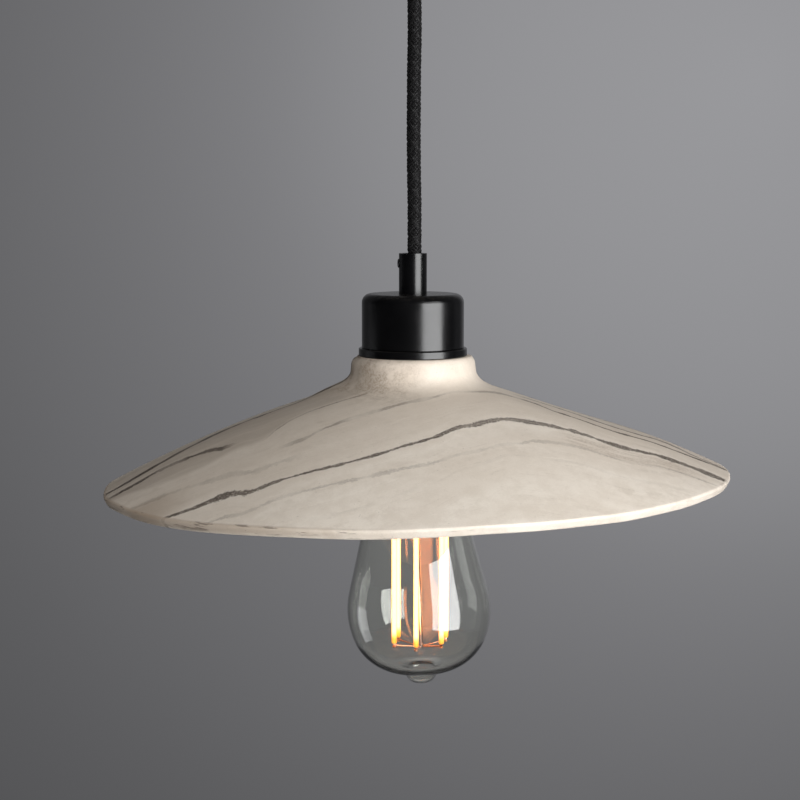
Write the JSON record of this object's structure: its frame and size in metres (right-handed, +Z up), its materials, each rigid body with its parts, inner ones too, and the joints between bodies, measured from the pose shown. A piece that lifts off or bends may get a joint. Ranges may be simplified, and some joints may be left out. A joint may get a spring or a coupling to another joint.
{
  "type": "ceramic pendant light",
  "caption": "Wide shallow cone shade of marbled ceramic on a black lampholder with a pear-shaped filament bulb, hung by a black cloth flex from a round ceiling cup.",
  "frame": {"origin": "centre of the ceiling fitting's top face, in the plane of the ceiling", "axes": "+Z up into the ceiling; the lamp hangs along -Z; -Y is the pictured front and +X its right"},
  "size_m": [0.2807, 0.2808, 0.3655],
  "materials": {
    "black_metal": "satin black powder coat",
    "ceramic": "matt marbled stoneware, cream with grey-brown veins",
    "porcelain": "white glazed porcelain",
    "flex_cloth": "black braided textile sleeve",
    "brown_core": "brown insulation",
    "blue_core": "blue insulation",
    "earth_core": "green insulation with a yellow stripe",
    "zinc_steel": "zinc-plated steel",
    "nickel_shell": "nickel-plated rolled sheet",
    "brass": "plain brass",
    "block_plastic": "off-white moulded plastic",
    "black_plastic": "black moulded plastic",
    "washer_rubber": "dark soft rubber",
    "bulb_glass": "clear glass",
    "stem_glass": "clear glass stem and rod",
    "filament": "yellow phosphor, lit warm white",
    "lead_wire": "thin plain wire",
    "board_green": "green circuit board",
    "insulator_black": "black fused glass"
  },
  "bodies": {
    "ceiling_rose": {"ceiling_bracket": "zinc_steel", "earth_terminal_screw": "brass", "rose_earth_tag": "brass", "terminal_block": "block_plastic", "terminal_tubes": "brass", "terminal_clamp_screws": "zinc_steel", "ceiling_cup": "black_metal", "cup_side_screws": "black_metal", "rose_cord_grip": "black_metal", "rose_grip_washer": "zinc_steel", "rose_grip_nut": "zinc_steel", "rose_grip_screw": "black_plastic", "rose_flex_end": "flex_cloth", "rose_live_core": "brown_core", "rose_neutral_core": "blue_core", "rose_earth_core": "earth_core"},
    "hanging_flex": {"flex": "flex_cloth"},
    "lamp": {"lamp_flex_end": "flex_cloth", "lamp_cord_grip": "black_metal", "lamp_grip_screw": "black_plastic", "lamp_earth_tag": "brass", "lamp_grip_nut": "zinc_steel", "lamp_live_core": "brown_core", "lamp_neutral_core": "blue_core", "lamp_earth_core": "earth_core", "lampholder_cap": "black_metal", "upper_ring": "black_metal", "threaded_skirt": "black_metal", "porcelain_insert": "porcelain", "live_terminal": "brass", "neutral_terminal": "brass", "holder_terminal_screws": "zinc_steel", "screw_shell": "nickel_shell"},
    "contact_tongue": {"centre_contact": "brass"},
    "bulb_tip": {"bulb_contact": "nickel_shell"},
    "bulb": {"bulb_glass": "bulb_glass", "bulb_screw_cap": "nickel_shell", "bulb_insulator": "insulator_black", "bulb_stem": "stem_glass", "filaments": "filament", "filament_leads": "lead_wire", "filament_end_wires": "lead_wire", "bulb_driver_board": "board_green"},
    "hanging_shade": {"shade": "ceramic", "shade_washer": "washer_rubber"},
    "retaining_ring": {"lower_ring": "black_metal"}
  },
  "joints": [
    {"name": "flex_swing", "type": "hinge", "parent": "ceiling_rose", "child": "hanging_flex", "pos_m": [0.0007, 0, -0.0415], "axis": [0, 1, 0], "range_deg": [-15, 15]},
    {"name": "lamp_tilt", "type": "hinge", "parent": "hanging_flex", "child": "lamp", "pos_m": [0.0007, 0, -0.1705], "axis": [1, 0, 0], "range_deg": [-15, 15]},
    {"name": "contact_flex", "type": "hinge", "parent": "lamp", "child": "contact_tongue", "pos_m": [-0.009, 0, -0.2204], "axis": [0, -1, 0], "range_deg": [0, 2.5], "stiffness_Nm_per_rad": 0.12, "springref_deg": -2.86},
    {"name": "bulb_travel", "type": "slide", "parent": "lamp", "child": "bulb_tip", "axis": [0, 0, -1], "range_m": [0, 0.024]},
    {"name": "bulb_turn", "type": "hinge", "parent": "bulb_tip", "child": "bulb", "pos_m": [0, 0, -0.23], "axis": [0, 0, -1], "range_deg": [0, 2381]},
    {"name": "shade_travel", "type": "slide", "parent": "lamp", "child": "hanging_shade", "axis": [0, 0, -1], "range_m": [0, 0.012]},
    {"name": "ring_turn", "type": "hinge", "parent": "hanging_shade", "child": "retaining_ring", "pos_m": [0, 0, -0.228], "axis": [0, 0, -1], "range_deg": [0, 1729]}
  ],
  "couplings": [
    {"joint": "bulb_turn", "follows": "bulb_travel", "rad_per_m": 1731.4},
    {"joint": "ring_turn", "follows": "shade_travel", "rad_per_m": 2513.3}
  ]
}
